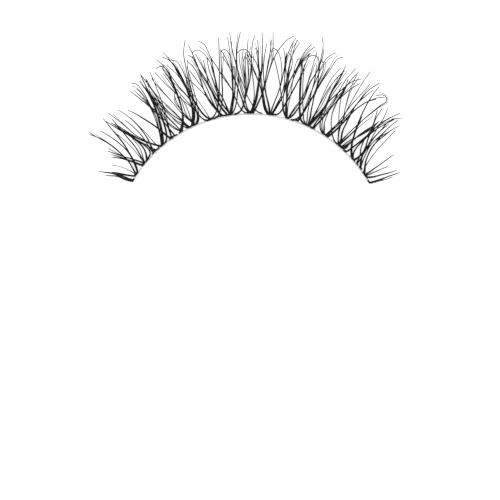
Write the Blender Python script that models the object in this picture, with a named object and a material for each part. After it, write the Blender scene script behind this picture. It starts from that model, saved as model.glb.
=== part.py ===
"""A false eyelash strip: a clear band bent to the lid's curve, and fans of tied lash fibre along it."""

import math

import bmesh
import bpy
import numpy as np
from mathutils import Matrix, Vector

# Driving sizes, in metres. The strip lies flat: +X to the right, +Y outward from the lid, +Z up.
BAND_RADIUS = 0.0158
BAND_LENGTH = 0.0330
BAND_WIDTH = 0.00024
BAND_THICKNESS = 0.0002
LASH_REACH = 0.0100
LASH_CURL = 0.0042
KNOT_DEPTH = 0.00028
KNOT_HEIGHT = 0.00028
KNOT_END = 0.00016
SEAT_GAP = 0.00003
HAIR_WIDTH = 0.00004
LOCK_CORE = 0.00012
LOCK_TIP = 0.00005
LOCK_GAP = 0.00004
TIER_RISE = 0.00012
TIER_RUN = 0.0015
SHARED_ROOT = 0.0016
LOCK_TURN = math.radians(40)

# How finely things are cut.
BAND_STEPS = 40
LOCK_STEPS = 6
TEST_STEPS = 48
MOST_TIERS = 16
KNOT_SEGMENTS = 8
KNOT_RINGS = 5
WELD = 0.0000001

# How a lock runs: where its named stations lie on its reach, and how its lift grows along it.
STATION_SHARES = (0.0, 0.2, 0.6, 1.0)
CURL_POWER = 2.2

# One list for each cluster, one row for each lock in it. Stations are in percent of the band's
# half length from its middle, + to the right, and the reach is in percent of the longest lash.
# root, low, mid, tip, reach, hairs
CLUSTERS = [
    [
        (-100.0, -100.5, -101.0, -104.0,  31, 2),
        ( -99.0,  -99.5, -101.5, -104.0,  41, 2),
    ],
    [
        ( -95.0,  -96.5, -100.5, -104.0,  40, 3),
        ( -94.5,  -90.0,  -88.0,  -90.0,  72, 2),
    ],
    [
        ( -92.0,  -86.5,  -82.5,  -80.0,  71, 3),
    ],
    [
        ( -86.5,  -87.0,  -90.0,  -93.5,  36, 3),
        ( -84.0,  -85.5,  -89.0,  -92.0,  44, 3),
        ( -84.5,  -81.5,  -79.0,  -80.5,  60, 2),
    ],
    [
        ( -81.5,  -77.0,  -78.0,  -80.5,  64, 3),
        ( -79.5,  -75.0,  -77.0,  -77.5,  66, 3),
    ],
    [
        ( -73.5,  -71.5,  -70.0,  -72.0,  68, 2),
        ( -72.0,  -74.0,  -75.5,  -76.5,  71, 2),
    ],
    [
        ( -67.0,  -72.0,  -77.0,  -80.5,  64, 4),
        ( -68.0,  -62.5,  -58.0,  -57.0,  77, 3),
        ( -67.0,  -60.5,  -55.5,  -53.0,  83, 4),
    ],
    [
        ( -63.0,  -57.0,  -54.0,  -55.0,  76, 3),
    ],
    [
        ( -58.5,  -60.5,  -64.5,  -68.5,  57, 3),
        ( -58.0,  -54.5,  -51.0,  -49.0,  78, 2),
        ( -55.5,  -56.0,  -58.0,  -61.5,  74, 2),
    ],
    [
        ( -51.5,  -53.5,  -56.5,  -58.0,  57, 2),
        ( -50.0,  -52.0,  -54.0,  -55.0,  69, 3),
        ( -51.0,  -45.0,  -41.5,  -42.0,  82, 5),
    ],
    [
        ( -44.5,  -47.5,  -53.0,  -53.0,  78, 4),
    ],
    [
        ( -42.0,  -37.5,  -36.0,  -39.0,  91, 4),
        ( -41.5,  -40.5,  -41.5,  -43.0,  67, 2),
        ( -40.5,  -43.0,  -42.5,  -43.0,  76, 2),
        ( -40.5,  -35.0,  -33.0,  -28.5,  97, 4),
        ( -39.5,  -35.0,  -32.5,  -32.0,  67, 2),
    ],
    [
        ( -32.0,  -35.5,  -42.5,  -47.0,  76, 2),
        ( -31.0,  -35.5,  -38.5,  -41.0,  71, 3),
    ],
    [
        ( -27.5,  -33.0,  -37.5,  -40.5,  69, 3),
        ( -28.5,  -22.0,  -19.0,  -21.5,  89, 3),
    ],
    [
        ( -25.0,  -18.5,  -16.0,  -14.0,  90, 3),
        ( -21.0,  -24.0,  -27.0,  -30.5,  74, 2),
        ( -19.5,  -22.5,  -27.0,  -28.0,  91, 2),
    ],
    [
        ( -17.0,  -20.0,  -23.0,  -26.0,  78, 2),
        ( -16.0,  -20.5,  -25.0,  -28.5,  78, 4),
        ( -15.0,  -11.5,   -9.5,  -10.0,  89, 3),
        ( -14.0,   -8.5,   -4.0,   -1.0,  86, 3),
    ],
    [
        ( -10.5,   -4.0,    0.0,    0.0,  70, 4),
        ( -10.0,   -4.0,   -2.0,   -2.5,  80, 2),
    ],
    [
        (  -4.0,   -8.5,  -16.0,  -20.5,  83, 2),
    ],
    [
        (  -1.0,   -5.0,  -10.0,  -14.0,  76, 3),
        (   0.5,   -2.5,   -7.0,   -9.0,  94, 3),
        (  -0.5,    3.5,    6.0,    5.5,  91, 2),
        (   1.5,    6.0,    9.0,   12.5,  91, 3),
        (   2.0,    6.5,   10.5,   17.5,  93, 3),
    ],
    [
        (  11.5,    8.0,    3.5,   -1.0,  71, 3),
        (  12.5,    8.5,    4.5,    3.5,  83, 3),
        (  13.0,   16.5,   21.5,   24.5,  70, 4),
        (  13.5,   17.5,   23.0,   29.0,  87, 3),
        (  14.0,   15.5,   17.0,   13.5,  76, 3),
        (  14.5,   16.0,   18.0,   20.0,  91, 2),
        (  15.5,   19.0,   20.5,   22.0,  87, 3),
        (  16.0,   22.0,   26.0,   28.5,  78, 4),
    ],
    [
        (  24.5,   21.0,   15.0,   10.5,  76, 3),
        (  26.0,   22.0,   20.0,   17.5,  74, 3),
        (  27.0,   23.0,   21.0,   20.0,  71, 2),
        (  26.5,   30.5,   32.0,   34.0,  71, 4),
    ],
    [
        (  30.0,   35.5,   35.5,   31.0, 101, 3),
        (  31.0,   35.0,   37.0,   35.0,  76, 2),
    ],
    [
        (  34.0,   36.0,   38.5,   43.0,  87, 2),
    ],
    [
        (  37.0,   31.5,   27.5,   24.5,  71, 4),
        (  38.0,   33.5,   29.0,   25.5,  69, 2),
        (  38.5,   33.5,   31.5,   31.0,  76, 3),
        (  39.0,   43.5,   48.0,   55.5,  76, 4),
        (  40.0,   42.0,   42.0,   43.5,  74, 2),
        (  40.5,   43.0,   43.0,   46.5,  76, 3),
        (  41.0,   37.5,   35.0,   34.0,  80, 3),
        (  42.5,   39.5,   37.0,   36.0,  71, 2),
    ],
    [
        (  45.0,   47.5,   50.5,   55.5,  70, 4),
        (  45.5,   47.5,   49.0,   50.5,  84, 3),
        (  46.5,   48.5,   50.5,   52.5,  82, 2),
    ],
    [
        (  52.5,   47.0,   45.5,   45.5,  80, 3),
        (  53.5,   50.0,   48.0,   46.5,  69, 3),
    ],
    [
        (  56.0,   57.5,   62.0,   64.0,  82, 4),
        (  56.5,   58.5,   61.0,   67.0,  74, 3),
    ],
    [
        (  63.0,   54.5,   50.5,   49.5,  71, 2),
    ],
    [
        (  66.0,   60.0,   57.0,   57.0,  92, 3),
        (  67.5,   63.5,   60.5,   58.5,  69, 3),
        (  66.0,   66.5,   68.5,   71.5,  74, 2),
        (  69.5,   71.0,   73.5,   76.5,  64, 4),
    ],
    [
        (  72.5,   74.0,   76.0,   79.5,  74, 3),
        (  73.5,   75.0,   77.5,   82.0,  72, 4),
    ],
    [
        (  79.5,   71.0,   65.5,   64.0,  76, 2),
        (  81.5,   77.0,   75.5,   72.5,  67, 3),
        (  82.0,   81.5,   79.5,   78.0,  69, 3),
    ],
    [
        (  85.0,   80.5,   76.5,   74.5,  60, 2),
    ],
    [
        (  89.5,   83.0,   76.0,   70.0,  60, 4),
        (  88.5,   84.5,   80.0,   79.5,  64, 3),
    ],
    [
        (  94.0,   86.0,   81.5,   81.5,  69, 4),
        (  92.5,   85.5,   82.5,   84.0,  64, 2),
        (  97.5,   99.0,  101.5,  103.0,  38, 3),
    ],
    [
        ( 101.0,  102.5,  103.5,  105.0,  38, 3),
    ],
]

FIBRE = {"name": "lash_fibre", "color": (0.012, 0.011, 0.011, 1.0), "roughness": 0.42, "transmission": 0.0}
CLEAR = {"name": "clear_band", "color": (0.86, 0.87, 0.88, 1.0), "roughness": 0.25, "transmission": 0.6}


def clear_scene():
    for item in list(bpy.data.objects):
        bpy.data.objects.remove(item, do_unlink=True)


def make_material(spec):
    material = bpy.data.materials.new(spec["name"])
    material.use_nodes = True
    shader = material.node_tree.nodes["Principled BSDF"]
    shader.inputs["Base Color"].default_value = spec["color"]
    shader.inputs["Roughness"].default_value = spec["roughness"]
    shader.inputs["Metallic"].default_value = 0.0
    shader.inputs["Transmission Weight"].default_value = spec["transmission"]
    return material


# Places along the strip

def on_strip(station, outward, height):
    """A point from its distance along the band, its distance outside the band's middle line and its height."""
    angle = station / BAND_RADIUS
    radius = BAND_RADIUS + outward
    return Vector((radius * math.sin(angle), radius * math.cos(angle) - BAND_RADIUS, height))


def knot_seat():
    """How far outside the band's middle line the middle of a knot lies."""
    return BAND_WIDTH / 2 + SEAT_GAP + KNOT_DEPTH / 2


def knot_span(locks):
    """The first and last root of a cluster, in metres along the band."""
    roots = [lock[0] / 100 * BAND_LENGTH / 2 for lock in locks]
    return min(roots), max(roots)


# Locks

def lock_width(hairs):
    return LOCK_CORE + HAIR_WIDTH * hairs


def lock_radius(lock, share):
    """Half the width of a lock at a share of its reach: full over the root, then a long taper."""
    wide = lock_width(lock[5])
    return (wide + (LOCK_TIP - wide) * share ** 1.5) / 2


def lock_path(lock, tier, steps):
    """The middle line of a lock, from inside its knot to its tip."""
    root, low, mid, tip, reach, hairs = lock
    length = reach / 100 * LASH_REACH
    knots = [value / 100 * BAND_LENGTH / 2 for value in (root, low, mid, tip)]
    bend = np.polyfit(np.sqrt(STATION_SHARES), knots, 3)
    start = knot_seat() / length
    floor = max(lock_width(hairs), KNOT_HEIGHT) / 2
    points = []
    for share in np.linspace(start, 1.0, steps + 1):
        run = min((share - start) * length / TIER_RUN, 1.0)
        ramp = run * run * (3 - 2 * run)
        curl = LASH_CURL * reach / 100 * share ** CURL_POWER
        height = floor + tier * TIER_RISE * ramp + curl
        station = np.polyval(bend, math.sqrt((share - start) / (1 - start)))
        points.append((on_strip(station, share * length, height), share))
    return points


def lock_samples(lock, tier):
    """Finely spaced points on a lock's middle line as it is cut, with its half width at each."""
    path = lock_path(lock, tier, LOCK_STEPS)
    spots = np.linspace(0, LOCK_STEPS, TEST_STEPS)
    rows = np.array([tuple(point) + (lock_radius(lock, share),) for point, share in path])
    return np.stack([np.interp(spots, range(LOCK_STEPS + 1), column) for column in rows.T], axis=1)


def knot_samples(locks):
    """Points along the middle of a knot, with its half depth, to keep other clusters' locks off it."""
    first, last = knot_span(locks)
    rows = []
    for station in np.linspace(first - KNOT_END / 2, last + KNOT_END / 2, 8):
        rows.append(tuple(on_strip(station, knot_seat(), KNOT_HEIGHT / 2)) + (KNOT_DEPTH / 2,))
    return np.array(rows)


def beyond_root(rows):
    """The samples past the stretch that the locks of one cluster share."""
    outward = np.hypot(rows[:, 0], rows[:, 1] + BAND_RADIUS) - BAND_RADIUS
    return rows[outward > SHARED_ROOT]


def clear_between(rows, others):
    """The narrowest gap between two sets of samples."""
    apart = np.linalg.norm(rows[:, None, :3] - others[None, :, :3], axis=2)
    return (apart - rows[:, None, 3] - others[None, :, 3]).min()


def tier_locks():
    """A tier for each lock: the lowest at which it passes clear of the other clusters and, past
    their shared root, of the locks beside it."""
    knots = [knot_samples(locks) for locks in CLUSTERS]
    placed = []
    tiers = []
    for number, locks in enumerate(CLUSTERS):
        row_of_tiers = []
        for lock in locks:
            others = [knot for owner, knot in enumerate(knots) if owner != number]
            others += [rows for owner, rows in placed if owner != number]
            siblings = [beyond_root(rows) for owner, rows in placed if owner == number]
            fits = []
            for tier in range(MOST_TIERS):
                rows = lock_samples(lock, tier)
                gap = min(clear_between(rows, other) for other in others)
                for sibling in siblings:
                    gap = min(gap, clear_between(beyond_root(rows), sibling))
                fits.append((min(gap, LOCK_GAP), -tier))
            tier = -max(fits)[1]
            row_of_tiers.append(tier)
            placed.append((number, lock_samples(lock, tier)))
        tiers.append(row_of_tiers)
    return tiers


# Solids

def mesh_from(item, name, collection):
    """Swap an object for a plain mesh object of its evaluated shape, with loose caps welded on."""
    shape = item.evaluated_get(bpy.context.evaluated_depsgraph_get())
    mesh = bpy.data.meshes.new_from_object(shape)
    shell = bmesh.new()
    shell.from_mesh(mesh)
    bmesh.ops.remove_doubles(shell, verts=shell.verts, dist=WELD)
    bmesh.ops.recalc_face_normals(shell, faces=shell.faces)
    shell.to_mesh(mesh)
    shell.free()
    result = bpy.data.objects.new(name, mesh)
    result.matrix_world = item.matrix_world.copy()
    collection.objects.link(result)
    bpy.data.objects.remove(item, do_unlink=True)
    result.name = name
    return result


def add_knot(locks, collection):
    """The bond that holds a cluster's roots: a flattened bead along the band."""
    first, last = knot_span(locks)
    shell = bmesh.new()
    half_turn = Matrix.Rotation(math.pi / KNOT_SEGMENTS, 4, "Z")
    bmesh.ops.create_uvsphere(
        shell, u_segments=KNOT_SEGMENTS, v_segments=KNOT_RINGS, radius=0.5, matrix=half_turn
    )
    half_spread = (last - first) / 2
    for vert in shell.verts:
        side = math.copysign(half_spread, vert.co.x) if abs(vert.co.x) > WELD else 0.0
        along = (first + last) / 2 + vert.co.x * 2 * KNOT_END + side
        outward = knot_seat() + vert.co.y * KNOT_DEPTH
        vert.co = on_strip(along, outward, KNOT_HEIGHT * (0.5 + vert.co.z))
    mesh = bpy.data.meshes.new("knot")
    shell.to_mesh(mesh)
    shell.free()
    knot = bpy.data.objects.new("knot", mesh)
    collection.objects.link(knot)
    return knot


def add_lock(lock, tier, turn, collection):
    """One tapered lock, as a bevelled curve turned to a mesh."""
    path = lock_path(lock, tier, LOCK_STEPS)
    curve = bpy.data.curves.new("lock", "CURVE")
    curve.dimensions = "3D"
    curve.bevel_depth = lock_radius(lock, 0.0)
    curve.bevel_resolution = 0
    curve.use_fill_caps = True
    spline = curve.splines.new("POLY")
    spline.points.add(len(path) - 1)
    for point, (place, share) in zip(spline.points, path):
        point.co = (*place, 1.0)
        point.radius = lock_radius(lock, share) / lock_radius(lock, 0.0)
        point.tilt = turn
    lock_object = bpy.data.objects.new("lock", curve)
    collection.objects.link(lock_object)
    bpy.context.view_layer.update()
    return mesh_from(lock_object, "lock", collection)


def fuse(base, tools, collection):
    """The union of a solid and every solid in the tools' collection, in place of them all."""
    union = base.modifiers.new("fuse", "BOOLEAN")
    union.operation = "UNION"
    union.solver = "EXACT"
    union.operand_type = "COLLECTION"
    union.collection = tools
    bpy.context.view_layer.update()
    result = mesh_from(base, base.name, collection)
    for tool in list(tools.objects):
        bpy.data.objects.remove(tool, do_unlink=True)
    return result


def add_cluster(name, locks, tiers, material, collection, tools):
    """A fan of locks fused to its knot, with its origin at the knot."""
    for number, (lock, tier) in enumerate(zip(locks, tiers)):
        add_lock(lock, tier, number * LOCK_TURN, tools)
    cluster = fuse(add_knot(locks, collection), tools, collection)
    station = sum(knot_span(locks)) / 2
    place = Matrix.Translation(on_strip(station, knot_seat(), KNOT_HEIGHT / 2))
    place = place @ Matrix.Rotation(-station / BAND_RADIUS, 4, "Z")
    cluster.data.transform(place.inverted())
    cluster.matrix_world = place
    cluster.name = name
    cluster.data.name = name
    cluster.data.shade_smooth()
    cluster.data.set_sharp_from_angle(angle=math.radians(50))
    cluster.data.materials.clear()
    cluster.data.materials.append(material)
    return cluster


def add_band(material, collection):
    """The clear band: a flat strip bent to the lid's curve, with its underside on the rest plane."""
    stations = np.linspace(-BAND_LENGTH / 2, BAND_LENGTH / 2, BAND_STEPS + 1)
    outer = [on_strip(station, BAND_WIDTH / 2, 0.0) for station in stations]
    inner = [on_strip(station, -BAND_WIDTH / 2, 0.0) for station in reversed(stations)]
    curve = bpy.data.curves.new("band", "CURVE")
    curve.dimensions = "2D"
    curve.fill_mode = "BOTH"
    curve.extrude = BAND_THICKNESS / 2
    spline = curve.splines.new("POLY")
    outline = outer + inner
    spline.points.add(len(outline) - 1)
    for point, place in zip(spline.points, outline):
        point.co = (*place, 1.0)
    spline.use_cyclic_u = True
    sheet = bpy.data.objects.new("band", curve)
    sheet.location.z = BAND_THICKNESS / 2
    collection.objects.link(sheet)
    bpy.context.view_layer.update()
    band = mesh_from(sheet, "band", collection)
    band.data.materials.clear()
    band.data.materials.append(material)
    return band


def build():
    clear_scene()
    collection = bpy.data.collections.new("false_eyelash_strip")
    tools = bpy.data.collections.new("cutters")
    bpy.context.scene.collection.children.link(collection)
    bpy.context.scene.collection.children.link(tools)
    fibre = make_material(FIBRE)
    add_band(make_material(CLEAR), collection)
    for number, (locks, tiers) in enumerate(zip(CLUSTERS, tier_locks()), start=1):
        add_cluster(f"lash_cluster_{number:02d}", locks, tiers, fibre, collection, tools)


build()
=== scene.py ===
"""How a false eyelash strip looks: fine tapered fibres in crossing fans, their bonds and a clear band."""

import math
import random

import bmesh
import bpy
import numpy as np
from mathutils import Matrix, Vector, noise


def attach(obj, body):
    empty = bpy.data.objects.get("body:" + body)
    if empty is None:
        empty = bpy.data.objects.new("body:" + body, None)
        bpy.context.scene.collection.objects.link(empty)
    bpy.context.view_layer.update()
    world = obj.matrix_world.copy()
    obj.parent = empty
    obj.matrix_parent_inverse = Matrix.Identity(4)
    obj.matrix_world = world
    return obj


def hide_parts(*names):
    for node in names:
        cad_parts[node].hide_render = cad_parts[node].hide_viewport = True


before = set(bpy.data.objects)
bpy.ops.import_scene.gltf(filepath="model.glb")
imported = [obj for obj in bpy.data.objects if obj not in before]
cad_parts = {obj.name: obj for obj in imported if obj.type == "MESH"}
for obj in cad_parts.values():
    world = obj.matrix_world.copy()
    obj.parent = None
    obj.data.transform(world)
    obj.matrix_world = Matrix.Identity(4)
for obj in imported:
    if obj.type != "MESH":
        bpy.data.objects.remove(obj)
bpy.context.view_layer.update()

# The sizes that the solids were made from, in metres, and the power with which their curl grows.
BAND_RADIUS = 0.0158
BAND_LENGTH = 0.0330
BAND_WIDTH = 0.00024
BAND_THICKNESS = 0.0002
LASH_REACH = 0.0100
LASH_CURL = 0.0042
KNOT_DEPTH = 0.00028
KNOT_HEIGHT = 0.00028
SEAT_GAP = 0.00003
TIER_RUN = 0.0015
CURL_POWER = 2.2

# Fibres. Lengths are in metres, and MARK is one unit of the table below.
MARK = 0.000115
FIBRE_RADII = {1: 0.000044, 2: 0.000052, 3: 0.000062, 4: 0.000073}
FIBRE_TIP_RADIUS = 0.000048
RADIUS_RANGE = (0.92, 1.08)
TAPER_POWER = 6.0
FIBRE_SIDES = 8
FIBRE_STEPS = 40
EASE_PASSES = 3
FIRST_SEED = 100

# How a fibre is set in its knot: its shift outward at root and tip, its height, its tail, whose inset is
# a share of the knot's depth, and its wider root.
ROOT_SHIFT = 0.00002
TIP_SHIFT = 0.00005
ROOT_HEIGHT = 0.00020
ROOT_TAIL = 0.00040
TAIL_RANGE = (0.3, 1.0)
TAIL_INSET = 0.1
ROOT_WIDEN = 0.45
ROOT_RUN = 0.0024

# How a fibre takes its lift from the corners of the solid beside it, at a share of its reach.
LIFT_SHARE = 0.6
LIFT_POINTS = 10
MOST_LIFT = 0.0019
LIFT_JITTER = 0.00005

# Mates: finer fibres that lie along some of those that end more than MATE_REACH units out.
MATE_CHANCE = 0.6
MATE_REACH = 60.0
MATE_RADIUS = 0.000035
MATE_SPREAD = 0.00024
MATE_SPREAD_RANGE = (0.6, 1.3)
MATE_LENGTH_RANGE = (0.9, 1.0)
MATE_POWER = 3.4

# Bonds: how far out they sit, how much of the knot they fill, and how blunt and lumpy they are.
BOND_SEAT = 0.00015
BOND_FILL = 0.82
BOND_BLUNT = 0.7
BOND_LUMP = 0.22
BOND_LUMP_PITCH = 1.6
BOND_LUMP_RANGE = (0, 50)
BOND_UV_SCALE = 100
BOND_SEGMENTS = 18
BOND_RINGS = 12

# The band: how uneven it is along its length, how slim its ends are and how round its edges.
BAND_STEPS = 220
BAND_SIDES = 14
BAND_UNEVEN = 0.04
BAND_UNEVEN_PITCH = 900
BAND_END = 0.55
BAND_EDGE_POWER = 0.5

# The view, from straight above a point close to the middle of the band's circle.
VIEW_WIDTH = 0.0578
VIEW_MIDDLE = (-0.00004, -0.01571)
CAMERA_HEIGHT = 1.0
SENSOR = 36.0
CLIP_START = 0.01
CLIP_END = 10.0

# The floor and the lamps: name, place, power in watts and size.
FLOOR_SIZE = 1.2
FLOOR_DROP = 0.00002
LAMPS = (
    ("key", (-0.35, 0.30, 0.70), 6.0, 0.6),
    ("fill", (0.45, -0.25, 0.60), 3.5, 0.7),
)

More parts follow.
